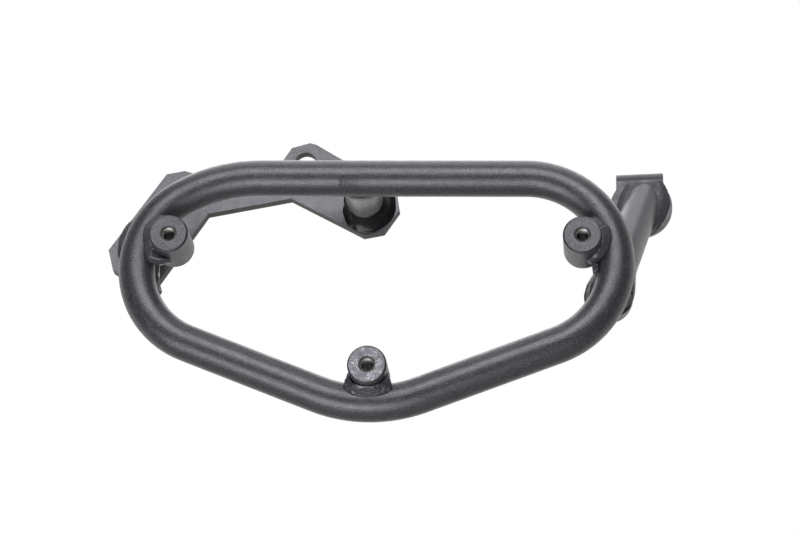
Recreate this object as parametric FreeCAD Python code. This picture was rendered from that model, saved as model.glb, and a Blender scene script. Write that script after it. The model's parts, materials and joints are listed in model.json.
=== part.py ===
# Motorcycle side carrier: a tube bent into a closed loop, three threaded bosses on its inside, a thick
# bracket plate on two spacer tubes, and a strut that ends on a folded bracket. All of it is welded steel.
#
# The sizes below are in the loop's own frame: x along the top run, y from the loop towards the
# motorcycle, z up, zero on the top run's centreline. The finished pieces are moved so that the origin
# is the middle of the ear's bolt hole, on the plate's back.

import FreeCAD
import Part
import math
import os

from FreeCAD import Vector

os.makedirs("parts", exist_ok=True)

# Loop tube, measured on its centreline
tube_diameter = 18.0
tube_wall = 2.0
loop_width = 235.4
right_bend_radius = 44.4
left_bend_radius = 42.0
shoulder_bend_radius = 75.0
shoulder_bend_angle = 31.0
lower_run_angle = 21.3
bottom_bend_radius = 70.0
seam_x = -17.5
seam_width = 2.0

# Threaded bosses
boss_diameter = 19.0
boss_length = 24.0
boss_stand_off = 17.0
boss_edge_chamfer = 0.8
boss_axis_inset = 14.8
upper_boss_drop = 35.0
thread_core_diameter = 6.8
thread_mouth_diameter = 8.2
boss_weld_leg = 5.3
boss_weld_shift = 4.4

# Bracket plate and its bolt holes
plate_stand_off = 36.0
plate_thickness = 6.0
bolt_hole_diameter = 11.0
ear_hole_x = -40.8
ear_hole_z = 22.2
bolt_pitch_x = 61.8
bolt_pitch_z = 16.5

# Spacer tubes between the loop and the plate
spacer_diameter = 18.5
spacer_wall = 2.0
spacer_notch_start = 4.0
top_spacer_x = -9.2
side_spacer_bend_angle = 193.0
side_spacer_inset = 1.0
side_spacer_slant_x = -6.55
side_spacer_slant_z = 32.05
spacer_loop_weld_leg = 2.2
top_spacer_plate_weld_leg = 6.5
side_spacer_plate_weld_leg = 3.5

# Strut and the folded bracket at its upper end
strut_diameter = 18.0
strut_wall = 2.0
strut_bend_angle = -17.6
foot_inset = 1.8
foot_gap = 0.05
foot_width = 24.0
foot_thickness = 7.5
foot_flat_length = 3.0
foot_transition_length = 24.0
strut_run_x = 16.1
strut_run_z = 65.5
bracket_stand_off = 62.0
bracket_thickness = 4.0
bracket_disc_radius = 15.8
bracket_neck_width = 24.0
bracket_neck_fillet = 3.0
bracket_neck_length = 2.0
bracket_fold_radius = 2.5
bracket_flange_length = 32.0
bracket_flange_corner = 6.0
bracket_hole_diameter = 9.0
bracket_hole_setback = 19.0
bracket_roll = 3.0
strut_weld_leg = 3.6
foot_weld_depth = 4.5
foot_weld_slope = 2.4
foot_weld_inset = 0.8

# Points round each outline of the strut, and steps from its flat foot to its round tube
strut_outline_points = 24
strut_transition_steps = 8

# Thin land that each weld ring keeps where it meets its tube, and the seat that it keeps clear round
# a landed tube
weld_land = 0.4
weld_seat = 0.02

# Values that follow from the sizes above
tube_radius = tube_diameter / 2
boss_radius = boss_diameter / 2
boss_back = boss_length - boss_stand_off
spacer_radius = spacer_diameter / 2
strut_radius = strut_diameter / 2
plate_back = plate_stand_off + plate_thickness
ear_hole = Vector(ear_hole_x, 0, ear_hole_z)
shoulder_hole = ear_hole - Vector(bolt_pitch_x, 0, bolt_pitch_z)
origin = ear_hole + Vector(0, plate_back, 0)

ALONG_X = Vector(1, 0, 0)
ALONG_Y = Vector(0, 1, 0)
TURN_AXIS = Vector(0, -1, 0)


def save(name, shape):
    """Move one finished piece to the part's origin and write it."""
    piece = shape.copy()
    piece.translate(origin * -1)
    piece.exportStep("parts/" + name + ".step")


def polar(centre, radius, angle):
    """Point at an angle from the x axis, in the loop's plane."""
    turn = math.radians(angle)
    return centre + Vector(radius * math.cos(turn), 0, radius * math.sin(turn))


def face_of(points):
    """Flat face inside a closed chain of straight edges."""
    return Part.Face(Part.makePolygon(points + [points[0]]))


def slab(front, back):
    """Block as large as the whole carrier, between two planes across y."""
    reach = 2 * loop_width
    return Part.makeBox(2 * reach, back - front, 2 * reach, Vector(-reach, front, -reach))


def turned(point, direction, profile):
    """Solid turned about an axis from a profile of radius and distance along that axis."""
    face = face_of([Vector(radius, 0, along) for radius, along in profile])
    solid = face.revolve(Vector(0, 0, 0), Vector(0, 0, 1), 360)
    solid.Placement = FreeCAD.Placement(point, FreeCAD.Rotation(Vector(0, 0, 1), direction))
    return solid


# Loop centreline: the bends' centres, with the bottom bend tangent to both lower runs
slope = math.radians(lower_run_angle)
shoulder_turn = math.radians(shoulder_bend_angle)
bend_step = shoulder_bend_radius - left_bend_radius
right_centre = Vector(loop_width / 2 - right_bend_radius, 0, -right_bend_radius)
left_drop = shoulder_bend_radius - bend_step * math.cos(shoulder_turn)
left_centre = Vector(left_bend_radius - loop_width / 2, 0, -left_drop)
shoulder_centre = Vector(left_centre.x + bend_step * math.sin(shoulder_turn), 0, -shoulder_bend_radius)
right_outward = Vector(math.sin(slope), 0, -math.cos(slope))
left_outward = Vector(-math.sin(slope), 0, -math.cos(slope))
right_reach = right_centre.dot(right_outward) + right_bend_radius - bottom_bend_radius
left_reach = left_centre.dot(left_outward) + left_bend_radius - bottom_bend_radius
bottom_x = (right_reach - left_reach) / (2 * math.sin(slope))
bottom_drop = (right_reach + left_reach) / (2 * math.cos(slope))
bottom_centre = Vector(bottom_x, 0, -bottom_drop)
right_end_angle = lower_run_angle - 90
left_end_angle = 270 - lower_run_angle
shoulder_angle = 90 + shoulder_bend_angle

runs = [
    (Vector(shoulder_centre.x, 0, 0), Vector(right_centre.x, 0, 0)),
    (
        right_centre + right_outward * right_bend_radius,
        bottom_centre + right_outward * bottom_bend_radius,
    ),
    (
        bottom_centre + left_outward * bottom_bend_radius,
        left_centre + left_outward * left_bend_radius,
    ),
]
bends = [
    (right_centre, right_bend_radius, right_end_angle, 90),
    (bottom_centre, bottom_bend_radius, left_end_angle - 360, right_end_angle),
    (left_centre, left_bend_radius, shoulder_angle, left_end_angle),
    (shoulder_centre, shoulder_bend_radius, 90, shoulder_angle),
]


def loop_rod(radius):
    """Solid rod along the whole closed centreline."""
    solids = []
    for start, end in runs:
        solids.append(Part.makeCylinder(radius, (end - start).Length, start, end - start))
    for centre, bend_radius, start_angle, end_angle in bends:
        start = polar(centre, bend_radius, start_angle)
        tangent = (start - centre).cross(ALONG_Y)
        section = Part.Face(Part.Wire(Part.Circle(start, tangent, radius).toShape()))
        solids.append(section.revolve(centre, TURN_AXIS, end_angle - start_angle))
    return solids[0].multiFuse(solids[1:]).removeSplitter()


# Loop tube and the butt weld between its ends
loop_outside = loop_rod(tube_radius)
loop_inside = loop_rod(tube_radius - tube_wall)
seam_start = Vector(seam_x - seam_width / 2, 0, 0)
seam_slice = Part.makeCylinder(2 * tube_radius, seam_width, seam_start, ALONG_X)
loop_wall = loop_outside.cut(loop_inside)
save("loop_tube", loop_wall.cut(seam_slice))
save("loop_seam_weld", loop_wall.common(seam_slice))


def boss(centre):
    """Turned boss with a core hole and countersunk mouths, coped to sit on the loop tube."""
    core = thread_core_diameter / 2
    mouth = thread_mouth_diameter / 2
    mouth_depth = mouth - core
    rim = boss_radius - boss_edge_chamfer
    profile = [
        (core, mouth_depth - boss_back),
        (mouth, -boss_back),
        (rim, -boss_back),
        (boss_radius, boss_edge_chamfer - boss_back),
        (boss_radius, boss_stand_off - boss_edge_chamfer),
        (rim, boss_stand_off),
        (mouth, boss_stand_off),
        (core, boss_stand_off - mouth_depth),
    ]
    return turned(centre, ALONG_Y * -1, profile).cut(loop_outside)


def saddle_weld(collar, piece, leg):
    """Fillet between a round piece and the loop tube: the collar's share within one leg of the tube."""
    return collar.common(loop_rod(tube_radius + leg)).cut(loop_outside).cut(piece)


def boss_rod(centre):
    """Round bar that a boss is turned from."""
    return Part.makeCylinder(boss_radius, boss_length, centre - ALONG_Y * boss_stand_off, ALONG_Y)


def boss_weld(centre, outward):
    """Crescent weld on the tube side of a boss, sloping from the boss's side to the tube's crown."""
    back = boss_back - boss_edge_chamfer
    knee = tube_radius - weld_land
    wide = boss_radius + boss_weld_leg - boss_weld_shift
    profile = [
        (0, -back),
        (wide - boss_weld_leg, -back),
        (wide, boss_weld_leg - back),
        (wide, knee),
        (wide - boss_weld_leg, knee + boss_weld_leg),
        (0, knee + boss_weld_leg),
    ]
    collar = turned(centre + outward * boss_weld_shift, ALONG_Y * -1, profile)
    return saddle_weld(collar, boss_rod(centre), boss_weld_leg)


# Bosses: the upper two hang the same drop below the top run, the lower one is over the bottom bend
def outward_at_boss(centre, bend_radius, side):
    """Direction from an end bend's centre to the boss inside it, at the upper bosses' height."""
    reach = bend_radius - boss_axis_inset
    rise = -upper_boss_drop - centre.z
    return Vector(side * math.sqrt(reach ** 2 - rise ** 2), 0, rise).normalize()


boss_centres = []
for name, bend_centre, bend_radius, outward in [
    ("boss_left", left_centre, left_bend_radius, outward_at_boss(left_centre, left_bend_radius, -1)),
    ("boss_right", right_centre, right_bend_radius, outward_at_boss(right_centre, right_bend_radius, 1)),
    ("boss_lower", bottom_centre, bottom_bend_radius, Vector(0, 0, -1)),
]:
    boss_centre = bend_centre + outward * (bend_radius - boss_axis_inset)
    boss_centres.append(boss_centre)
    save(name, boss(boss_centre))
    save(name + "_weld", boss_weld(boss_centre, outward))

# Spacer tubes: each starts on the loop's centreline and lands on the plate's front
top_spacer_start = Vector(top_spacer_x, 0, 0)
top_spacer_end = top_spacer_start + ALONG_Y * plate_stand_off
side_spacer_start = polar(left_centre, left_bend_radius - side_spacer_inset, side_spacer_bend_angle)
side_spacer_end = side_spacer_start + Vector(side_spacer_slant_x, plate_stand_off, side_spacer_slant_z)


def spacer(start, end):
    """Tube from the loop to the plate, notched over the loop tube and cut flush on the plate."""
    along = (end - start).normalize()
    base = start - along * spacer_diameter
    length = (end - start).Length + 2 * spacer_diameter
    outside = Part.makeCylinder(spacer_radius, length, base, along)
    inside = Part.makeCylinder(spacer_radius - spacer_wall, length, base, along)
    return outside.cut(inside).common(slab(spacer_notch_start, plate_stand_off)).cut(loop_outside)


def spacer_loop_weld(start, end):
    """Weld round a spacer's notched end, on the back of the loop tube and clear of the bosses."""
    along = (end - start).normalize()
    knee = tube_radius / along.y
    wide = spacer_radius + spacer_loop_weld_leg
    profile = [
        (0, 0),
        (wide, 0),
        (wide, knee),
        (spacer_radius + weld_land, knee + spacer_loop_weld_leg),
        (0, knee + spacer_loop_weld_leg),
    ]
    rod = Part.makeCylinder(spacer_radius, plate_stand_off / along.y, start, along)
    weld = saddle_weld(turned(start, along, profile), rod, spacer_loop_weld_leg)
    for centre in boss_centres:
        weld = weld.cut(boss_rod(centre))
    return weld.common(slab(spacer_notch_start, plate_stand_off))


def ring_on_plane(centre, along, radius, extra):
    """Outline, across y, of a slanted tube of this radius, made larger all round by extra."""
    across = Vector(along.x, 0, along.z)
    if across.Length < 1e-6:
        return Part.Wire(Part.Circle(centre, ALONG_Y, radius + extra).toShape())
    across.normalize()
    long_end = centre + across * (radius / along.y + extra)
    short_end = centre + across.cross(ALONG_Y) * (radius + extra)
    return Part.Wire(Part.Ellipse(long_end, short_end, centre).toShape())


def landing_weld(end, along, radius, leg, plate_face):
    """Sloping weld ring round a tube that lands on a plate's front, kept inside the plate's outline."""
    top = end - along * (leg / along.y)
    rings = [ring_on_plane(end, along, radius, leg), ring_on_plane(top, along, radius, weld_land)]
    core = Part.makeCylinder(radius + weld_seat, 4 * radius, end - along * (2 * radius), along)
    room = plate_face.extrude(ALONG_Y * (-2 * leg))
    return Part.makeLoft(rings, True, True).cut(core).common(room)


# Bracket plate: straight edges round four lobes, two on the spacers and two on the bolt holes
def around(centre, offsets):
    """Corners of the plate's outline, given from the middle of one lobe."""
    return [Vector(centre.x + dx, plate_stand_off, centre.z + dz) for dx, dz in offsets]


plate_outline = (
    around(side_spacer_end, [(-17.4, -1.4), (-14.4, -12.6), (5.5, -24.1)])
    + around(shoulder_hole, [(12.9, -11.4)])
    + around(ear_hole, [(-6.7, -19.5)])
    + around(top_spacer_end, [(-0.6, -17.1), (9.6, -15.0), (17.1, -3.4), (15.2, 7.1)])
    + around(ear_hole, [(5.0, 9.9), (1.7, 10.8), (-7.4, 8.1), (-17.0, -7.0)])
    + around(shoulder_hole, [(15.5, 3.8), (3.5, 10.9), (-0.3, 12.0), (-9.5, 10.2)])
)
plate_face = face_of(plate_outline)
plate = plate_face.extrude(ALONG_Y * plate_thickness)
for hole in [ear_hole, shoulder_hole]:
    plate = plate.cut(Part.makeCylinder(bolt_hole_diameter / 2, plate_back, hole, ALONG_Y))
save("bracket_plate", plate)

for name, start, end, plate_weld_leg in [
    ("top_spacer", top_spacer_start, top_spacer_end, top_spacer_plate_weld_leg),
    ("side_spacer", side_spacer_start, side_spacer_end, side_spacer_plate_weld_leg),
]:
    spacer_along = (end - start).normalize()
    plate_weld = landing_weld(end, spacer_along, spacer_radius, plate_weld_leg, plate_face)
    save(name, spacer(start, end))
    save(name + "_loop_weld", spacer_loop_weld(start, end))
    save(name + "_plate_weld", plate_weld)

# Strut: a flattened foot on the back of the right bend, then a round tube up to the folded bracket
foot_y = tube_radius + foot_gap + foot_thickness / 2
foot_centre = polar(right_centre, right_bend_radius - foot_inset, strut_bend_angle) + ALONG_Y * foot_y
landing = Vector(foot_centre.x + strut_run_x, bracket_stand_off, foot_centre.z + strut_run_z)
foot_along = Vector(strut_run_x, 0, strut_run_z).normalize()
foot_across = foot_along.cross(ALONG_Y)
strut_start = foot_centre + foot_along * foot_flat_length
strut_along = (landing - strut_start).normalize()
strut_length = landing.distanceToPoint(strut_start)


def strut_section(distance):
    """Closed outline of the strut: flat up to the foot's bend, at distance 0, then growing round."""
    reach = min(max(distance / foot_transition_length, 0), 1)
    share = reach * reach * (3 - 2 * reach)
    half_width = foot_width / 2 + share * (strut_radius - foot_width / 2)
    half_depth = foot_thickness / 2 + share * (strut_radius - foot_thickness / 2)
    roundness = 0.5 + 0.5 * share
    centre = strut_start + (strut_along if distance > 0 else foot_along) * distance
    depth = foot_across.cross(foot_along * (1 - share) + strut_along * share).normalize()
    points = []
    for step in range(strut_outline_points):
        turn = 2 * math.pi * step / strut_outline_points
        wide = math.copysign(abs(math.cos(turn)) ** roundness, math.cos(turn))
        deep = math.copysign(abs(math.sin(turn)) ** roundness, math.sin(turn))
        points.append(centre + foot_across * (half_width * wide) + depth * (half_depth * deep))
    curve = Part.BSplineCurve()
    curve.interpolate(points, PeriodicFlag=True)
    return Part.Wire(curve.toShape())


def strut_rod():
    """Solid form of the strut, longer than the strut itself at both ends."""
    foot_end = foot_flat_length + foot_width
    tube_end = strut_length + strut_diameter
    stations = [-foot_end]
    for step in range(strut_transition_steps + 1):
        stations.append(foot_transition_length * step / strut_transition_steps)
    stations.append(tube_end)
    return Part.makeLoft([strut_section(distance) for distance in stations], True, True)


def foot_plan(inset, y):
    """Outline of the foot seen along y, round at its tip, made smaller all round by inset."""
    centre = Vector(foot_centre.x, y, foot_centre.z)
    side = foot_across * (foot_width / 2 - inset)
    ahead = foot_along * foot_flat_length
    tip = centre - foot_along * (foot_width / 2 - inset)
    return Part.Wire([
        Part.Arc(centre + side, tip, centre - side).toShape(),
        Part.makeLine(centre - side, centre - side + ahead),
        Part.makeLine(centre - side + ahead, centre + side + ahead),
        Part.makeLine(centre + side + ahead, centre + side),
    ])


beside = foot_across * foot_width
behind = foot_along * -foot_width
tip_face = face_of([
    foot_centre + beside,
    foot_centre - beside,
    foot_centre - beside + behind,
    foot_centre + beside + behind,
])
tip_block = tip_face.extrude(ALONG_Y * (2 * foot_thickness))
tip_disc = Part.makeCylinder(foot_width / 2, 2 * foot_thickness, foot_centre, ALONG_Y)
tip_trim = tip_block.cut(tip_disc)
tip_trim.translate(ALONG_Y * -foot_thickness)
bore_start = strut_start + strut_along * foot_transition_length
strut_bore = Part.makeCylinder(strut_radius - strut_wall, strut_length, bore_start, strut_along)
strut = strut_rod().common(slab(0, bracket_stand_off)).cut(tip_trim).cut(strut_bore)
save("strut_tube", strut)

# Two welds, in the grooves between the foot and the loop tube
foot_weld_front = foot_plan(foot_weld_inset + foot_weld_slope, tube_radius - foot_weld_depth)
foot_weld_back = foot_plan(foot_weld_inset, tube_radius)
foot_weld = Part.makeLoft([foot_weld_front, foot_weld_back], True, True)
foot_weld_sides = sorted(foot_weld.cut(loop_outside).Solids, key=lambda side: side.CenterOfMass.x)
save("strut_foot_inner_weld", foot_weld_sides[0])
save("strut_foot_outer_weld", foot_weld_sides[-1])

# Folded bracket, drawn about the middle of its disc with its front face at y 0
neck = bracket_neck_width / 2
fillet_reach = bracket_disc_radius + bracket_neck_fillet
fillet_z = math.sqrt(fillet_reach ** 2 - (neck + bracket_neck_fillet) ** 2)
fold_z = fillet_z + bracket_neck_length
fold_y = bracket_thickness + bracket_fold_radius
flange_z = fold_z + bracket_fold_radius


def neck_fillet(side):
    """Arc between the bracket's neck and its disc, on one side."""
    centre = Vector(side * (neck + bracket_neck_fillet), 0, fillet_z)
    on_neck = Vector(side * neck, 0, fillet_z)
    on_disc = centre * (bracket_disc_radius / fillet_reach)
    toward = (on_neck + on_disc) * 0.5 - centre
    middle = centre + toward.normalize() * bracket_neck_fillet
    return on_neck, on_disc, Part.Arc(on_neck, middle, on_disc).toShape()


right_neck, right_disc, right_fillet = neck_fillet(1)
left_neck, left_disc, left_fillet = neck_fillet(-1)
right_fold = Vector(neck, 0, fold_z)
left_fold = Vector(-neck, 0, fold_z)
bracket_face = Part.Face(Part.Wire(Part.__sortEdges__([
    Part.Arc(right_disc, Vector(0, 0, -bracket_disc_radius), left_disc).toShape(),
    left_fillet,
    Part.makeLine(left_neck, left_fold),
    Part.makeLine(left_fold, right_fold),
    Part.makeLine(right_fold, right_neck),
    right_fillet,
])))
fold_face = face_of([
    left_fold,
    right_fold,
    right_fold + ALONG_Y * bracket_thickness,
    left_fold + ALONG_Y * bracket_thickness,
])
fold = fold_face.revolve(Vector(0, fold_y, fold_z), ALONG_X * -1, 90)
flange = Part.makeBox(
    bracket_neck_width, bracket_flange_length - fold_y, bracket_thickness, Vector(-neck, fold_y, flange_z)
)
flange_corners = []
for edge in flange.Edges:
    upright = edge.BoundBox.ZLength > bracket_thickness / 2
    if upright and edge.CenterOfMass.y > bracket_flange_length - bracket_thickness:
        flange_corners.append(edge)
flange = flange.makeFillet(bracket_flange_corner, flange_corners)
bracket_hole_start = Vector(0, bracket_hole_setback, flange_z - bracket_thickness / 2)
bracket_hole = Part.makeCylinder(bracket_hole_diameter / 2, 2 * bracket_thickness, bracket_hole_start)
bracket = bracket_face.extrude(ALONG_Y * bracket_thickness).multiFuse([fold, flange]).cut(bracket_hole)
for piece in [bracket, bracket_face]:
    piece.rotate(Vector(0, 0, 0), TURN_AXIS, bracket_roll)
    piece.translate(landing)
save("strut_bracket", bracket.removeSplitter())
save("strut_bracket_weld", landing_weld(landing, strut_along, strut_radius, strut_weld_leg, bracket_face))
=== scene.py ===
import json
import math

import bpy
from mathutils import Matrix, Vector, noise


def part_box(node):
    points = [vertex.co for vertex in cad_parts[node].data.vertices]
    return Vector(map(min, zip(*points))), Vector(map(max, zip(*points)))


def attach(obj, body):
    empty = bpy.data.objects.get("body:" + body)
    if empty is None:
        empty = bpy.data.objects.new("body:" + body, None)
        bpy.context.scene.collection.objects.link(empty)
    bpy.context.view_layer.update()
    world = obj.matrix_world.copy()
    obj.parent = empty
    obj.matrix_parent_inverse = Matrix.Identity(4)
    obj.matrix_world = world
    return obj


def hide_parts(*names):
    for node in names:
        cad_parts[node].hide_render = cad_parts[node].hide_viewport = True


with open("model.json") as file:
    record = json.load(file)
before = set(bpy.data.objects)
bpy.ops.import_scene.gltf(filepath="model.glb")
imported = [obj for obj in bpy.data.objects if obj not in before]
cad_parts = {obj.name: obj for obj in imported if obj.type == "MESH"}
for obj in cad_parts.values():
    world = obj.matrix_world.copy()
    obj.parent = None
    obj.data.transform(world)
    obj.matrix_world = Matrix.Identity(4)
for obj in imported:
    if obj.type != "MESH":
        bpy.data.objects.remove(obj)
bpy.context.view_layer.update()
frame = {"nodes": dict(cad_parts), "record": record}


# Loop tube: round steel tube bent to a closed, rounded triangle that carries the luggage.
# It is powder coated in satin black: a fine dry grain over a slow, slightly uneven flow,
# a little greyer where the coat is thin.
def powder_coat(name, dark, light, roughness, grain_depth):
    """Satin black powder coat: grain and flow as bump, with small changes of tone and gloss."""
    coat = bpy.data.materials.new(name)
    coat.use_nodes = True
    tree = coat.node_tree
    shader = tree.nodes["Principled BSDF"]
    shader.inputs["Specular IOR Level"].default_value = 0.75
    place = tree.nodes.new("ShaderNodeTexCoord")

    grain = tree.nodes.new("ShaderNodeTexNoise")
    grain.inputs["Scale"].default_value = 1800.0
    grain.inputs["Detail"].default_value = 3.0
    flow = tree.nodes.new("ShaderNodeTexNoise")
    flow.inputs["Scale"].default_value = 260.0
    flow.inputs["Detail"].default_value = 3.0
    for texture in (grain, flow):
        tree.links.new(place.outputs["Object"], texture.inputs["Vector"])

    tone = tree.nodes.new("ShaderNodeMix")
    tone.data_type = "RGBA"
    tone.inputs["A"].default_value = (*dark, 1.0)
    tone.inputs["B"].default_value = (*light, 1.0)
    speck = tree.nodes.new("ShaderNodeMapRange")
    speck.inputs["From Min"].default_value = 0.42
    speck.inputs["From Max"].default_value = 0.66
    tree.links.new(grain.outputs["Fac"], speck.inputs["Value"])
    tree.links.new(speck.outputs["Result"], tone.inputs["Factor"])
    tree.links.new(tone.outputs["Result"], shader.inputs["Base Color"])

    gloss = tree.nodes.new("ShaderNodeMapRange")
    gloss.inputs["From Min"].default_value = 0.3
    gloss.inputs["From Max"].default_value = 0.7
    gloss.inputs["To Min"].default_value = roughness - 0.05
    gloss.inputs["To Max"].default_value = roughness + 0.06
    tree.links.new(flow.outputs["Fac"], gloss.inputs["Value"])
    tree.links.new(gloss.outputs["Result"], shader.inputs["Roughness"])

    dry = tree.nodes.new("ShaderNodeBump")
    dry.inputs["Strength"].default_value = grain_depth
    dry.inputs["Distance"].default_value = 0.0002
    tree.links.new(grain.outputs["Fac"], dry.inputs["Height"])
    peel = tree.nodes.new("ShaderNodeBump")
    peel.inputs["Strength"].default_value = 0.12 * grain_depth
    peel.inputs["Distance"].default_value = 0.0004
    tree.links.new(flow.outputs["Fac"], peel.inputs["Height"])
    tree.links.new(dry.outputs["Normal"], peel.inputs["Normal"])
    tree.links.new(peel.outputs["Normal"], shader.inputs["Normal"])
    return coat


def alone(piece):
    """Leave one piece selected and active."""
    bpy.ops.object.select_all(action="DESELECT")
    piece.select_set(True)
    bpy.context.view_layer.objects.active = piece


def finished_copy(node, coat, edge):
    """Piece in a node's own shape, with joined faces, smooth curves and softened edges."""
    piece = bpy.data.objects.new(node + "_finish", frame["nodes"][node].data.copy())
    bpy.context.scene.collection.objects.link(piece)
    alone(piece)
    bpy.ops.object.mode_set(mode="EDIT")
    bpy.ops.mesh.select_all(action="SELECT")
    bpy.ops.mesh.customdata_custom_splitnormals_clear()
    bpy.ops.mesh.remove_doubles(threshold=0.000002)
    if edge:
        bpy.ops.mesh.dissolve_limited(angle_limit=math.radians(1.0))
        bpy.ops.mesh.select_all(action="DESELECT")
        bpy.ops.mesh.edges_select_sharp(sharpness=math.radians(30))
        bpy.ops.mesh.bevel(offset=edge, segments=3, profile=0.5, clamp_overlap=True)
    bpy.ops.object.mode_set(mode="OBJECT")
    bpy.ops.object.shade_smooth_by_angle(angle=math.radians(35))
    if edge:
        level = piece.modifiers.new("level", "WEIGHTED_NORMAL")
        level.keep_sharp = True
        bpy.ops.object.modifier_apply(modifier="level")
    piece.data.materials.clear()
    piece.data.materials.append(coat)
    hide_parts(node)
    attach(piece, "root")
    return piece


tube_coat = powder_coat("tube_powder_coat", (0.0100, 0.0100, 0.0122), (0.064, 0.062, 0.072), 0.34, 0.72)
finished_copy("loop_tube", tube_coat, 0.0)


# Seam: the butt weld between the loop tube's two ends, on the top run.
# It is ground flush before coating: a thin slanting line is left, and grinding marks beside it.
seam_x = 0.0234
seam_line_z = -0.0267
seam_line_slope = 0.43
ground_before = 0.002
ground_after = 0.0085
ground_top = -0.0215
ground_bottom = -0.0360
ground_fade = 0.002


def grinding_marks(coat, start, end):
    """Fine marks round the tube's lower half, between two places along the top run."""
    tree = coat.node_tree
    shader = tree.nodes["Principled BSDF"]
    place = tree.nodes["Texture Coordinate"]
    stretch = tree.nodes.new("ShaderNodeMapping")
    stretch.inputs["Scale"].default_value = (2400.0, 70.0, 70.0)
    marks = tree.nodes.new("ShaderNodeTexNoise")
    marks.inputs["Scale"].default_value = 1.0
    marks.inputs["Detail"].default_value = 2.0
    tree.links.new(place.outputs["Object"], stretch.inputs["Vector"])
    tree.links.new(stretch.outputs["Vector"], marks.inputs["Vector"])
    split = tree.nodes.new("ShaderNodeSeparateXYZ")
    tree.links.new(place.outputs["Object"], split.inputs["Vector"])
    window = marks.outputs["Fac"]
    limits = (
        ("X", start, start + 0.0012),
        ("X", end, end - 0.003),
        ("Z", ground_top, ground_top - ground_fade),
        ("Z", ground_bottom, ground_bottom + ground_fade),
    )
    for axis, begin, full in limits:
        side = tree.nodes.new("ShaderNodeMapRange")
        side.inputs["From Min"].default_value = begin
        side.inputs["From Max"].default_value = full
        within = tree.nodes.new("ShaderNodeMath")
        within.operation = "MULTIPLY"
        tree.links.new(split.outputs[axis], side.inputs["Value"])
        tree.links.new(side.outputs["Result"], within.inputs[0])
        tree.links.new(window, within.inputs[1])
        window = within.outputs["Value"]
    cut = tree.nodes.new("ShaderNodeBump")
    cut.inputs["Strength"].default_value = 0.9
    cut.inputs["Distance"].default_value = 0.0004
    tree.links.new(window, cut.inputs["Height"])
    tree.links.new(shader.inputs["Normal"].links[0].from_socket, cut.inputs["Normal"])
    tree.links.new(cut.outputs["Normal"], shader.inputs["Normal"])


def seam_line(coat):
    """Dark line that slants across the front of the seam."""
    tree = coat.node_tree
    shader = tree.nodes["Principled BSDF"]
    place = tree.nodes["Texture Coordinate"]
    slant = tree.nodes.new("ShaderNodeVectorMath")
    slant.operation = "DOT_PRODUCT"
    slant.inputs[1].default_value = (1.0, 0.0, -seam_line_slope)
    tree.links.new(place.outputs["Object"], slant.inputs[0])
    offset = tree.nodes.new("ShaderNodeMath")
    offset.operation = "SUBTRACT"
    offset.inputs[1].default_value = seam_x - seam_line_slope * seam_line_z
    tree.links.new(slant.outputs["Value"], offset.inputs[0])
    away = tree.nodes.new("ShaderNodeMath")
    away.operation = "ABSOLUTE"
    tree.links.new(offset.outputs["Value"], away.inputs[0])
    line = tree.nodes.new("ShaderNodeMapRange")
    line.inputs["From Min"].default_value = 0.00018
    line.inputs["From Max"].default_value = 0.00042
    tree.links.new(away.outputs["Value"], line.inputs["Value"])
    dirt = tree.nodes.new("ShaderNodeMix")
    dirt.data_type = "RGBA"
    dirt.inputs["A"].default_value = (0.002, 0.002, 0.002, 1.0)
    tree.links.new(line.outputs["Result"], dirt.inputs["Factor"])
    tree.links.new(shader.inputs["Base Color"].links[0].from_socket, dirt.inputs["B"])
    tree.links.new(dirt.outputs["Result"], shader.inputs["Base Color"])
    groove = tree.nodes.new("ShaderNodeBump")
    groove.inputs["Strength"].default_value = 0.6
    groove.inputs["Distance"].default_value = 0.0003
    tree.links.new(line.outputs["Result"], groove.inputs["Height"])
    tree.links.new(shader.inputs["Normal"].links[0].from_socket, groove.inputs["Normal"])
    tree.links.new(groove.outputs["Normal"], shader.inputs["Normal"])


seam_coat = powder_coat("dressed_seam_coat", (0.0100, 0.0100, 0.0122), (0.061, 0.059, 0.069), 0.34, 0.68)
for coat in (tube_coat, seam_coat):
    grinding_marks(coat, seam_x - ground_before, seam_x + ground_after)
seam_line(seam_coat)
finished_copy("loop_seam_weld", seam_coat, 0.0)


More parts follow.
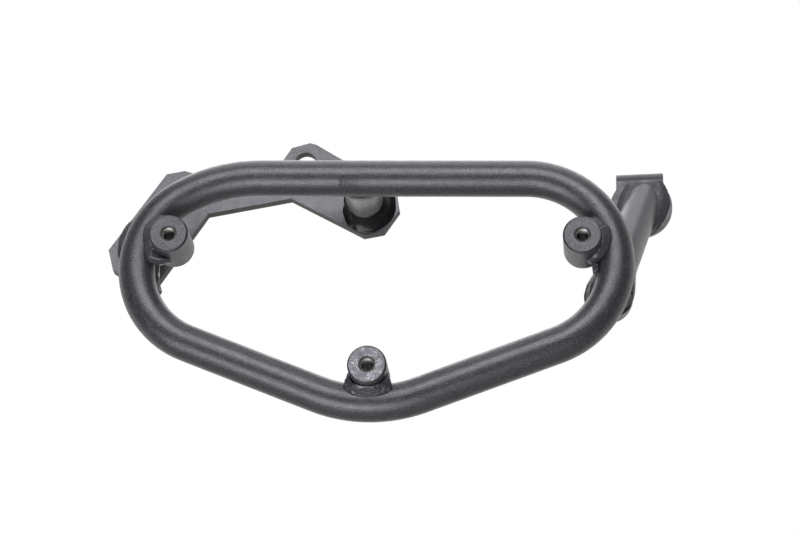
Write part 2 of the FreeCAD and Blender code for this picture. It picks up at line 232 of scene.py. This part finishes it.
# Bosses: three short bars turned from steel, drilled, tapped and coped to sit on the tube's inside.
# They are coated with the frame, and the thread and its countersink are cut bare after that.
def boss_coat(name, mouth, scuffed):
    """Powder coat with painted shade as dark lines round the face and the hole and as near-black bare
    steel in the hole, a grey countersink, scuffs if asked.
    """
    coat = powder_coat(name, (0.016, 0.016, 0.0192), (0.096, 0.094, 0.109), 0.42, 0.95)
    tree = coat.node_tree
    shader = tree.nodes["Principled BSDF"]
    place = tree.nodes["Texture Coordinate"]

    centred = tree.nodes.new("ShaderNodeMapping")
    centred.inputs["Location"].default_value = (-mouth.x, -mouth.y, -mouth.z)
    tree.links.new(place.outputs["Object"], centred.inputs["Vector"])
    split = tree.nodes.new("ShaderNodeSeparateXYZ")
    tree.links.new(centred.outputs["Vector"], split.inputs["Vector"])
    across = tree.nodes.new("ShaderNodeCombineXYZ")
    tree.links.new(split.outputs["X"], across.inputs["X"])
    tree.links.new(split.outputs["Z"], across.inputs["Z"])
    reach = tree.nodes.new("ShaderNodeVectorMath")
    reach.operation = "LENGTH"
    tree.links.new(across.outputs["Vector"], reach.inputs[0])

    def band(socket, start, end):
        """Share from 0 at the start to 1 at the end of a distance."""
        ramp = tree.nodes.new("ShaderNodeMapRange")
        ramp.inputs["From Min"].default_value = start
        ramp.inputs["From Max"].default_value = end
        tree.links.new(socket, ramp.inputs["Value"])
        return ramp.outputs["Result"]

    def both(first, second):
        """Product of two shares."""
        product = tree.nodes.new("ShaderNodeMath")
        product.operation = "MULTIPLY"
        tree.links.new(first, product.inputs[0])
        tree.links.new(second, product.inputs[1])
        return product.outputs["Value"]

    def tint(share, colour):
        """Another colour over the coat where the share is 1."""
        mix = tree.nodes.new("ShaderNodeMix")
        mix.data_type = "RGBA"
        mix.inputs["B"].default_value = (*colour, 1.0)
        tree.links.new(share, mix.inputs["Factor"])
        tree.links.new(shader.inputs["Base Color"].links[0].from_socket, mix.inputs["A"])
        tree.links.new(mix.outputs["Result"], shader.inputs["Base Color"])

    def cloud(scale, start, end):
        """Share of the face that a noise of one scale covers."""
        texture = tree.nodes.new("ShaderNodeTexNoise")
        texture.inputs["Scale"].default_value = scale
        texture.inputs["Detail"].default_value = 4.0
        tree.links.new(place.outputs["Object"], texture.inputs["Vector"])
        return band(texture.outputs["Fac"], start, end)

    from_axis = reach.outputs["Value"]
    face = band(split.outputs["Y"], 0.0002, -0.0001)
    if scuffed:
        tint(both(face, cloud(380.0, 0.30, 0.70)), (0.160, 0.160, 0.175))
        tint(both(both(face, cloud(1500.0, 0.48, 0.58)), cloud(300.0, 0.38, 0.58)), (0.44, 0.44, 0.47))
    # Painted shade: a dark line on the face's chamfered rim.
    tint(both(face, band(from_axis, 0.0086, 0.0089)), (0.003, 0.003, 0.0035))
    # Painted shade: a dark ring round the mouth of the hole.
    tint(band(from_axis, 0.0042, 0.0041), (0.004, 0.004, 0.0045))
    tint(band(from_axis, 0.0040, 0.0039), (0.060, 0.058, 0.056))
    # Painted shade: the bare steel wall of the hole gets a near-black colour.
    bare = band(from_axis, 0.00352, 0.00346)
    tint(bare, (0.012, 0.011, 0.010))
    tree.links.new(bare, shader.inputs["Metallic"])
    return coat


mouths = {mount["name"]: Vector(mount["pos_m"]) for mount in frame["record"]["mounts"]}
boss_mouths = {
    "boss_left": mouths["left_boss_thread"],
    "boss_right": mouths["right_boss_thread"],
    "boss_lower": mouths["lower_boss_thread"],
}
for node, mouth in boss_mouths.items():
    finished_copy(node, boss_coat(node + "_coat", mouth, node == "boss_lower"), 0.00025)


# Threads: the bare cut thread inside each boss, a steel ridge wound along the whole hole, bright at the
# mouth and painted dark further in, as painted shade deep in the hole. One is wound from its tooth's
# profile and copied to the others.
thread_steel = bpy.data.materials.new("cut_thread_steel")
thread_steel.use_nodes = True
steel_tree = thread_steel.node_tree
steel = steel_tree.nodes["Principled BSDF"]
steel.inputs["Metallic"].default_value = 1.0
steel_place = steel_tree.nodes.new("ShaderNodeTexCoord")
steel_marks = steel_tree.nodes.new("ShaderNodeTexNoise")
steel_marks.inputs["Scale"].default_value = 900.0
steel_depth = steel_tree.nodes.new("ShaderNodeSeparateXYZ")
# Painted shade: the steel darkens from the mouth towards the bottom of the hole.
steel_shade_ramp = steel_tree.nodes.new("ShaderNodeMapRange")
steel_shade_ramp.inputs["From Min"].default_value = -0.0576
steel_shade_ramp.inputs["From Max"].default_value = -0.0505
steel_depth_shade = steel_tree.nodes.new("ShaderNodeMix")
steel_depth_shade.data_type = "RGBA"
steel_depth_shade.inputs["A"].default_value = (0.92, 0.88, 0.85, 1.0)
steel_depth_shade.inputs["B"].default_value = (0.008, 0.007, 0.006, 1.0)
steel_gloss = steel_tree.nodes.new("ShaderNodeMapRange")
steel_gloss.inputs["To Min"].default_value = 0.20
steel_gloss.inputs["To Max"].default_value = 0.42
steel_tree.links.new(steel_place.outputs["Object"], steel_marks.inputs["Vector"])
steel_tree.links.new(steel_place.outputs["Object"], steel_depth.inputs["Vector"])
steel_tree.links.new(steel_depth.outputs["Y"], steel_shade_ramp.inputs["Value"])
steel_tree.links.new(steel_shade_ramp.outputs["Result"], steel_depth_shade.inputs["Factor"])
steel_tree.links.new(steel_marks.outputs["Fac"], steel_gloss.inputs["Value"])
steel_tree.links.new(steel_depth_shade.outputs["Result"], steel.inputs["Base Color"])
steel_tree.links.new(steel_gloss.outputs["Result"], steel.inputs["Roughness"])

thread_pitch = 0.00125
thread_root = 0.00345
thread_crest = 0.00300
thread_length = 0.0213
turns = int(thread_length / thread_pitch)

bpy.ops.object.select_all(action="DESELECT")
bpy.ops.mesh.primitive_plane_add(size=thread_pitch * 0.9, location=(thread_root, 0.0, 0.0))
tooth = bpy.context.object
tooth.name = "boss_thread"
for corner in tooth.data.vertices:
    outer = corner.co.x > 0
    corner.co.x = 0.0 if outer else thread_crest - thread_root
    corner.co.y *= 1.0 if outer else 0.22
bpy.ops.object.transform_apply(location=True)
bpy.ops.object.mode_set(mode="EDIT")
bpy.ops.mesh.select_all(action="SELECT")
bpy.ops.mesh.delete(type="ONLY_FACE")
bpy.ops.object.mode_set(mode="OBJECT")
wind = tooth.modifiers.new("wind", "SCREW")
wind.axis = "Y"
wind.screw_offset = thread_pitch
wind.iterations = turns
wind.steps = 32
wind.render_steps = 32
bpy.ops.object.modifier_apply(modifier="wind")
bpy.ops.object.mode_set(mode="EDIT")
bpy.ops.mesh.select_all(action="SELECT")
bpy.ops.mesh.fill_holes(sides=4)
bpy.ops.mesh.normals_make_consistent(inside=False)
bpy.ops.object.mode_set(mode="OBJECT")
bpy.ops.object.shade_smooth_by_angle(angle=math.radians(35))
tooth.data.materials.append(thread_steel)
wound = tooth.data.copy()
first_turn = Vector((0.0, thread_pitch / 2, 0.0))
for node, mouth in boss_mouths.items():
    thread = tooth
    if node != "boss_left":
        thread = bpy.data.objects.new(node + "_thread", wound.copy())
        bpy.context.scene.collection.objects.link(thread)
    thread.data.transform(Matrix.Translation(mouth + first_turn))
    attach(thread, "root")


# Boss welds: arc-welded beads in the crescent between each boss and the tube it sits on.
# They end in a heap where the arc stopped, and the coat lies thick over their ripples and lumps.
bead_voxel = 0.0003
bead_softening = 28


def weld_bead(
    node, centre, axis, coat, ripple, spacing, lump,
    crinkle=0.00012, swell=0.0002, flare=0.0, heaps=(),
):
    """Rippled bead in a weld node's place: ripples run round the axis of the piece that it holds."""
    bead = bpy.data.objects.new(node + "_bead", frame["nodes"][node].data.copy())
    bpy.context.scene.collection.objects.link(bead)
    alone(bead)
    bpy.ops.object.mode_set(mode="EDIT")
    bpy.ops.mesh.select_all(action="SELECT")
    bpy.ops.mesh.customdata_custom_splitnormals_clear()
    bpy.ops.mesh.remove_doubles(threshold=0.000002)
    bpy.ops.object.mode_set(mode="OBJECT")
    pool = bead.modifiers.new("pool", "REMESH")
    pool.mode = "VOXEL"
    pool.voxel_size = bead_voxel
    bpy.ops.object.modifier_apply(modifier="pool")
    soften = bead.modifiers.new("soften", "SMOOTH")
    soften.factor = 0.5
    soften.iterations = bead_softening
    bpy.ops.object.modifier_apply(modifier="soften")
    side = axis.orthogonal().normalized()
    up = axis.cross(side)
    normals = [vertex.normal.copy() for vertex in bead.data.vertices]
    for vertex, normal in zip(bead.data.vertices, normals):
        out = vertex.co - centre
        along = out.dot(axis)
        turn = math.atan2(out.dot(up), out.dot(side))
        flat = out - axis * along
        wander = noise.noise(vertex.co * 300.0)
        wave = math.sin((turn * flat.length + 0.35 * along + 0.0006 * wander) * 2 * math.pi / spacing)
        patch = 0.55 + 0.45 * noise.noise(vertex.co * 110.0 + Vector((3.1, 0.0, 0.0)))
        rise = swell + ripple * patch * (1.0 - abs(wave))
        rise += lump * noise.noise(vertex.co * 240.0 + Vector((0.0, 7.7, 0.0)))
        rise += crinkle * noise.noise(vertex.co * 700.0 + Vector((0.0, 0.0, 5.3)))
        for spot, size, height in heaps:
            near = max(0.0, 1.0 - (vertex.co - Vector(spot)).length / size)
            rise += height * near * near * (3 - 2 * near)
        vertex.co += normal * rise
        low = min(max((centre.z - 0.004 - vertex.co.z) / 0.008, 0.0), 1.0)
        vertex.co.x += flare * low * (vertex.co.x - centre.x)
    bpy.ops.object.shade_smooth()
    bead.data.materials.clear()
    bead.data.materials.append(coat)
    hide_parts(node)
    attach(bead, "root")
    return bead


bead_coat = powder_coat("weld_bead_coat", (0.0192, 0.0192, 0.022), (0.067, 0.066, 0.075), 0.36, 0.35)
along_y = Vector((0.0, 1.0, 0.0))
# Each heap has its place, its radius and its height.
boss_heaps = {
    "boss_left": [
        ((-0.0690, -0.0500, -0.0655), 0.007, 0.0016),
        ((-0.0640, -0.0440, -0.0660), 0.006, 0.0012),
    ],
    "boss_right": [
        ((0.1500, -0.0500, -0.0655), 0.006, 0.0012),
        ((0.1465, -0.0460, -0.0665), 0.005, 0.0014),
    ],
    "boss_lower": [
        ((0.0380, -0.0520, -0.1330), 0.006, 0.0006),
        ((0.0290, -0.0460, -0.1270), 0.005, 0.0006),
    ],
}
boss_ripple = 0.0003
boss_ripple_spacing = 0.0019
boss_lump = 0.00045
upper_form = {"crinkle": 0.00025, "swell": 0.0002, "flare": 0.0}
lower_form = {"crinkle": 0.00032, "swell": -0.0001, "flare": 0.42}
for node, mouth in boss_mouths.items():
    form = lower_form if node == "boss_lower" else upper_form
    weld_bead(
        node + "_weld", mouth, along_y, bead_coat, boss_ripple, boss_ripple_spacing, boss_lump,
        heaps=boss_heaps[node], **form,
    )


# Loose weld metal: a heap under the left boss, where its bead was closed, and a drip of the right boss's
# weld that ran down the inside of the bend. Both froze on the tube and are coated with it.
drop_waves = 5.5
drop_lumps = 0.22


def weld_drop(name, place, size, turn, ripple, curl):
    """Lumpy drop of weld metal, rippled along its own length and curled towards the boss."""
    bpy.ops.object.select_all(action="DESELECT")
    bpy.ops.mesh.primitive_uv_sphere_add(segments=48, ring_count=32, radius=1.0)
    drop = bpy.context.object
    drop.name = name
    wander = Vector(place) * 90.0
    for vertex in drop.data.vertices:
        direction = vertex.co.normalized()
        wave = abs(math.sin(vertex.co.z * drop_waves + 0.8 * noise.noise(vertex.co * 2.0)))
        lump = drop_lumps * noise.noise(vertex.co * 1.9 + wander)
        vertex.co += direction * (ripple * (1.0 - wave) + lump)
        vertex.co.x += curl * vertex.co.z ** 2
    laid = Matrix.Rotation(math.radians(turn), 4, "Y") @ Matrix.Diagonal((*size, 1.0))
    drop.data.transform(Matrix.Translation(place) @ laid)
    bpy.ops.object.shade_smooth()
    drop.data.materials.append(bead_coat)
    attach(drop, "root")


weld_drop(
    "boss_left_weld_heap",
    place=(-0.0682, -0.0488, -0.0655), size=(0.0034, 0.0044, 0.0082), turn=-43.0, ripple=0.12, curl=1.2,
)
weld_drop(
    "boss_right_weld_drip",
    place=(0.1488, -0.0435, -0.0682), size=(0.0020, 0.0030, 0.0052), turn=0.0, ripple=0.10, curl=0.0,
)


# Bracket plate: a thick plate, laser cut and bolted to the motorcycle's frame.
# It is coated like the tube, rather greyer, and the coat is darker and duller on the rough cut edges.
def cut_edges(coat, colour, dullness):
    """Duller, darker coat on every face that was cut through the plate's thickness."""
    tree = coat.node_tree
    shader = tree.nodes["Principled BSDF"]
    place = tree.nodes["Texture Coordinate"]
    facing = tree.nodes.new("ShaderNodeSeparateXYZ")
    tree.links.new(place.outputs["Normal"], facing.inputs["Vector"])
    flat = tree.nodes.new("ShaderNodeMath")
    flat.operation = "ABSOLUTE"
    tree.links.new(facing.outputs["Y"], flat.inputs[0])
    cut = tree.nodes.new("ShaderNodeMapRange")
    cut.inputs["From Min"].default_value = 0.94
    cut.inputs["From Max"].default_value = 0.78
    tree.links.new(flat.outputs["Value"], cut.inputs["Value"])
    tone = tree.nodes.new("ShaderNodeMix")
    tone.data_type = "RGBA"
    tone.inputs["B"].default_value = (*colour, 1.0)
    dull = tree.nodes.new("ShaderNodeMix")
    dull.inputs["B"].default_value = dullness
    for mix, socket in ((tone, "Base Color"), (dull, "Roughness")):
        tree.links.new(cut.outputs["Result"], mix.inputs["Factor"])
        tree.links.new(shader.inputs[socket].links[0].from_socket, mix.inputs["A"])
        tree.links.new(mix.outputs["Result"], shader.inputs[socket])


plate_coat = powder_coat("plate_powder_coat", (0.058, 0.058, 0.064), (0.138, 0.134, 0.150), 0.42, 0.5)
cut_edges(plate_coat, (0.032, 0.029, 0.026), 0.65)
finished_copy("bracket_plate", plate_coat, 0.0004)


# Spacers: two lengths of tube that hold the plate off the loop, the one at the side leaning.
# Each is notched over the loop tube, cut flush on the plate and welded all round at both ends;
# on the plate the top one's weld is a wide hollow puddle with a smooth, glossy coat.
lip_depth = 0.0008
lip_share = 0.3


def puddle(bead, centre, axis, inner, leg, hollow, wander, reach, sink=0.0):
    """Hollow out a weld's slope, pull its rim in or out by side and sink its rim and its lip."""
    for vertex in bead.data.vertices:
        out = vertex.co - centre
        flat = out - axis * out.dot(axis)
        share = min(max((flat.length - inner) / leg, 0.0), 1.0)
        away = flat.normalized()
        rim = wander * noise.noise(away * 2.6)
        for side, amount in reach:
            rim += amount * max(0.0, away.dot(Vector(side))) ** 2
        lip = lip_depth * max(0.0, 1.0 - share / lip_share)
        deep = hollow * math.sin(math.pi * share) + sink * share
        vertex.co += away * (rim * share - lip) + axis * deep


# Painted reflection: the spacers and their welds on the loop are glossy, and their coat is painted light
# grey for the pale floor that they mirror from below.
spacer_sheen_coat = powder_coat("spacer_material_with_painted_sheen", (0.120, 0.116, 0.113), (0.185, 0.179, 0.175), 0.26, 0.05)
puddle_coat = powder_coat(
    "weld_puddle_coat", (0.0036, 0.0036, 0.0042), (0.0084, 0.0084, 0.0098), 0.22, 0.03,
)
puddle_coat.node_tree.nodes["Principled BSDF"].inputs["Specular IOR Level"].default_value = 0.3
spacer_radius = 0.00925
loop_weld_leg = 0.0022
top_weld_leg = 0.0065
side_weld_leg = 0.0035
hollow_share = 0.22
rim_wander = 0.0009
neck_ripple = 0.0001
neck_ripple_spacing = 0.0018
neck_lump = 0.0002
top_rim_ripple = 0.00015
side_rim_ripple = 0.0004
rim_ripple_spacing = 0.0034
rim_lump = 0.00028
top_low, top_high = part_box("top_spacer")
side_low, side_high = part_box("side_spacer_plate_weld")
lean = Vector((-0.00655, 0.036, 0.03205)).normalized()
loop_reach = [((0, 0, -1), -0.0015), ((-1, 0, 0), -0.0016)]
top_reach = [((-1, 0, 0), -0.0042), ((0, 0, 1), -0.0020), ((1, 0, 0), -0.0004), ((0, 0, -1), 0.0008)]
top_foot = (top_low + top_high) / 2
side_foot = (side_low + side_high) / 2
for node, foot, axis, leg, reach, coat, ripple in (
    ("top_spacer", top_foot, along_y, top_weld_leg, top_reach, puddle_coat, top_rim_ripple),
    ("side_spacer", side_foot, lean, side_weld_leg, [], bead_coat, side_rim_ripple),
):
    finished_copy(node, spacer_sheen_coat, 0.0)
    neck = weld_bead(
        node + "_loop_weld", foot, axis, spacer_sheen_coat,
        neck_ripple, neck_ripple_spacing, neck_lump, crinkle=0.0,
    )
    puddle(neck, foot, axis, spacer_radius, loop_weld_leg, 0.0, 0.0, loop_reach)
    rim = weld_bead(
        node + "_plate_weld", foot, axis, coat, ripple, rim_ripple_spacing, rim_lump, crinkle=0.0,
    )
    puddle(rim, foot, axis, spacer_radius, leg, hollow_share * leg, rim_wander, reach)


# Strut: a tube pressed flat at its foot, welded to the back of the loop's right bend.
# It rises to a folded steel bracket, where its slanted end is welded on the bracket's round face.
# The coat is painted darker over the foot, as painted shade where the foot faces down and back.
def painted_foot_shade(coat, dark_height, clear_height, colour):
    """Painted shade: dark coat below one height that clears up to another."""
    tree = coat.node_tree
    shader = tree.nodes["Principled BSDF"]
    height = tree.nodes.new("ShaderNodeSeparateXYZ")
    tree.links.new(tree.nodes["Texture Coordinate"].outputs["Object"], height.inputs["Vector"])
    foot_shade_share = tree.nodes.new("ShaderNodeMapRange")
    foot_shade_share.inputs["From Min"].default_value = clear_height
    foot_shade_share.inputs["From Max"].default_value = dark_height
    tree.links.new(height.outputs["Z"], foot_shade_share.inputs["Value"])
    tone = tree.nodes.new("ShaderNodeMix")
    tone.data_type = "RGBA"
    tone.inputs["B"].default_value = (*colour, 1.0)
    tree.links.new(foot_shade_share.outputs["Result"], tone.inputs["Factor"])
    tree.links.new(shader.inputs["Base Color"].links[0].from_socket, tone.inputs["A"])
    tree.links.new(tone.outputs["Result"], shader.inputs["Base Color"])


strut_coat = powder_coat("strut_powder_coat", (0.055, 0.055, 0.060), (0.099, 0.098, 0.108), 0.34, 0.08)
# The bracket and the foot welds share a darker copy of the coat; on the foot welds it is painted shade
# under the strut's foot.
dark_coat_and_foot_shade = powder_coat(
    "dark_bracket_material_with_foot_shade", (0.0048, 0.0048, 0.0064), (0.0192, 0.0192, 0.022), 0.40, 0.3,
)
strut_bead_coat = powder_coat("strut_bead_coat", (0.032, 0.032, 0.036), (0.078, 0.076, 0.086), 0.42, 0.12)
foot_low, foot_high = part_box("strut_foot_inner_weld")
foot_shade_height = 0.012
# Painted shade over the strut's foot, darkest up to the top of the inner foot weld.
painted_foot_shade(strut_coat, foot_high.z, foot_high.z + foot_shade_height, (0.006, 0.006, 0.007))
finished_copy("strut_tube", strut_coat, 0.0)
finished_copy("strut_bracket", dark_coat_and_foot_shade, 0.0004)
strut_radius = 0.009
collar_leg = 0.0036
collar_reach = [((1, 0, 0), 0.0024)]
collar_ripple = 0.0
collar_ripple_spacing = 0.0024
collar_lump = 0.0002
collar_crinkle = 0.00006
collar_hollow = 0.0004
collar_sink = 0.0012
foot_ripple = 0.0002
foot_ripple_spacing = 0.002
foot_lump = 0.0005
strut_axis = Vector((0.0154, 0.0492, 0.0626)).normalized()
weld_low, weld_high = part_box("strut_bracket_weld")
# Painted shade: the foot welds take the darker coat for the shade under the strut's foot.
for node in ("strut_foot_inner_weld", "strut_foot_outer_weld"):
    weld_bead(
        node, (foot_low + foot_high) / 2, along_y, dark_coat_and_foot_shade,
        foot_ripple, foot_ripple_spacing, foot_lump,
    )
collar_middle = (weld_low + weld_high) / 2
collar = weld_bead(
    "strut_bracket_weld", collar_middle, strut_axis, strut_bead_coat,
    collar_ripple, collar_ripple_spacing, collar_lump, crinkle=collar_crinkle,
)
puddle(
    collar, collar_middle, strut_axis, strut_radius, collar_leg,
    collar_hollow, 0.0, collar_reach, sink=collar_sink,
)


# Studio: a pale floor well below the carrier that fades into a white surround, and long soft boxes: two
# in front, one above and one below, that draw the light bands along the tubes, one overhead, one behind.
bpy.ops.object.select_all(action="DESELECT")
bpy.ops.mesh.primitive_plane_add(size=16.0, location=(0.05, 0.0, -1.05))
floor = bpy.context.object
floor.name = "studio_floor"
floor_paint = bpy.data.materials.new("pale_floor")
floor_paint.use_nodes = True
floor_tree = floor_paint.node_tree
paint = floor_tree.nodes["Principled BSDF"]
paint.inputs["Base Color"].default_value = (0.56, 0.545, 0.52, 1.0)
paint.inputs["Roughness"].default_value = 0.8
floor_place = floor_tree.nodes.new("ShaderNodeTexCoord")
floor_reach = floor_tree.nodes.new("ShaderNodeVectorMath")
floor_reach.operation = "LENGTH"
far = floor_tree.nodes.new("ShaderNodeMapRange")
far.inputs["From Min"].default_value = 1.2
far.inputs["From Max"].default_value = 2.2
open_far = floor_tree.nodes.new("ShaderNodeBsdfTransparent")
fade = floor_tree.nodes.new("ShaderNodeMixShader")
glow = floor_tree.nodes.new("ShaderNodeEmission")
glow.inputs["Color"].default_value = (1.0, 1.0, 1.0, 1.0)
pale = floor_tree.nodes.new("ShaderNodeMapRange")
pale.inputs["To Min"].default_value = 0.75
seen_floor = floor_tree.nodes.new("ShaderNodeLightPath")
shown = floor_tree.nodes.new("ShaderNodeMath")
shown.operation = "MULTIPLY"
blend = floor_tree.nodes.new("ShaderNodeMixShader")
floor_tree.links.new(floor_place.outputs["Object"], floor_reach.inputs[0])
floor_tree.links.new(floor_reach.outputs["Value"], far.inputs["Value"])
floor_tree.links.new(far.outputs["Result"], fade.inputs["Fac"])
floor_tree.links.new(paint.outputs["BSDF"], fade.inputs[1])
floor_tree.links.new(open_far.outputs["BSDF"], fade.inputs[2])
floor_tree.links.new(far.outputs["Result"], pale.inputs["Value"])
floor_tree.links.new(seen_floor.outputs["Is Camera Ray"], shown.inputs[0])
floor_tree.links.new(pale.outputs["Result"], shown.inputs[1])
floor_tree.links.new(shown.outputs["Value"], blend.inputs["Fac"])
floor_tree.links.new(fade.outputs["Shader"], blend.inputs[1])
floor_tree.links.new(glow.outputs["Emission"], blend.inputs[2])
floor_tree.links.new(blend.outputs["Shader"], floor_tree.nodes["Material Output"].inputs["Surface"])
floor.data.materials.append(floor_paint)

# The surround is dim in front and pale behind.
# The camera sees all of it white, and mirrored or refracted rays see its back white.
world = bpy.data.worlds.new("studio_surround")
bpy.context.scene.world = world
world.use_nodes = True
sky = world.node_tree
surround = sky.nodes["Background"]
surround.inputs["Strength"].default_value = 1.0
direction = sky.nodes.new("ShaderNodeTexCoord")
split = sky.nodes.new("ShaderNodeSeparateXYZ")
behind = sky.nodes.new("ShaderNodeMapRange")
behind.inputs["From Min"].default_value = -0.2
behind.inputs["From Max"].default_value = 0.4
behind.inputs["To Min"].default_value = 0.10
behind.inputs["To Max"].default_value = 0.75
seen = sky.nodes.new("ShaderNodeLightPath")
backdrop = sky.nodes.new("ShaderNodeMapRange")
backdrop.inputs["From Min"].default_value = 0.0
backdrop.inputs["From Max"].default_value = 0.4
mirrored = sky.nodes.new("ShaderNodeMath")
mirrored.operation = "MAXIMUM"
mirrored_back = sky.nodes.new("ShaderNodeMath")
mirrored_back.operation = "MULTIPLY"
shown_back = sky.nodes.new("ShaderNodeMath")
shown_back.operation = "MAXIMUM"
level = sky.nodes.new("ShaderNodeMath")
level.operation = "MAXIMUM"
sky.links.new(direction.outputs["Generated"], split.inputs["Vector"])
sky.links.new(split.outputs["Y"], behind.inputs["Value"])
sky.links.new(behind.outputs["Result"], level.inputs[0])
sky.links.new(split.outputs["Y"], backdrop.inputs["Value"])
sky.links.new(seen.outputs["Is Glossy Ray"], mirrored.inputs[0])
sky.links.new(seen.outputs["Is Transmission Ray"], mirrored.inputs[1])
sky.links.new(mirrored.outputs["Value"], mirrored_back.inputs[0])
sky.links.new(backdrop.outputs["Result"], mirrored_back.inputs[1])
sky.links.new(seen.outputs["Is Camera Ray"], shown_back.inputs[0])
sky.links.new(mirrored_back.outputs["Value"], shown_back.inputs[1])
sky.links.new(shown_back.outputs["Value"], level.inputs[1])
sky.links.new(level.outputs["Value"], surround.inputs["Color"])

# Each soft box has its height above the horizon in degrees, its shift aside, its two sizes and its power.
middle = Vector((0.044, -0.04, -0.07))
lamp_distance = 1.15
for name, elevation, aside, high, wide, power in (
    ("upper_soft_box", 31.0, 0.0, 0.48, 1.1, 11.8),
    ("lower_soft_box", -43.0, -0.38, 0.42, 1.0, 10.6),
    ("top_soft_box", 86.0, 0.0, 0.6, 1.2, 4.5),
    ("rear_soft_box", 128.0, 0.0, 0.7, 1.3, 4.5),
):
    tilt = math.radians(elevation)
    toward = Vector((0.0, -math.cos(tilt), math.sin(tilt)))
    lamp_place = middle + toward * lamp_distance + Vector((aside, 0.0, 0.0))
    bpy.ops.object.light_add(type="AREA", location=lamp_place)
    lamp = bpy.context.object
    lamp.name = name
    lamp.data.shape = "RECTANGLE"
    lamp.data.size = high
    lamp.data.size_y = wide
    lamp.data.energy = power
    lamp.data.color = (0.95, 0.95, 1.0)
    lamp.rotation_mode = "QUATERNION"
    lamp.rotation_quaternion = toward.to_track_quat("Z", "X")


# Camera: a long lens that looks up at the carrier by 19 degrees, square to its loop but for a few more.
# Its place and its two axes were fitted to the photograph.
bpy.ops.object.camera_add()
camera = bpy.context.object
camera.data.sensor_width = 36.0
camera.data.lens = 126.0
view_right = Vector((0.996712, 0.075426, 0.029614))
view_up = Vector((-0.003535, -0.324641, 0.945831))
turned = Matrix((view_right, view_up, view_right.cross(view_up))).transposed()
view_place = Vector((0.163827, -1.332673, -0.510729))
camera.matrix_world = Matrix.Translation(view_place) @ turned.to_4x4()
bpy.context.scene.camera = camera
bpy.context.scene.view_settings.view_transform = "Standard"
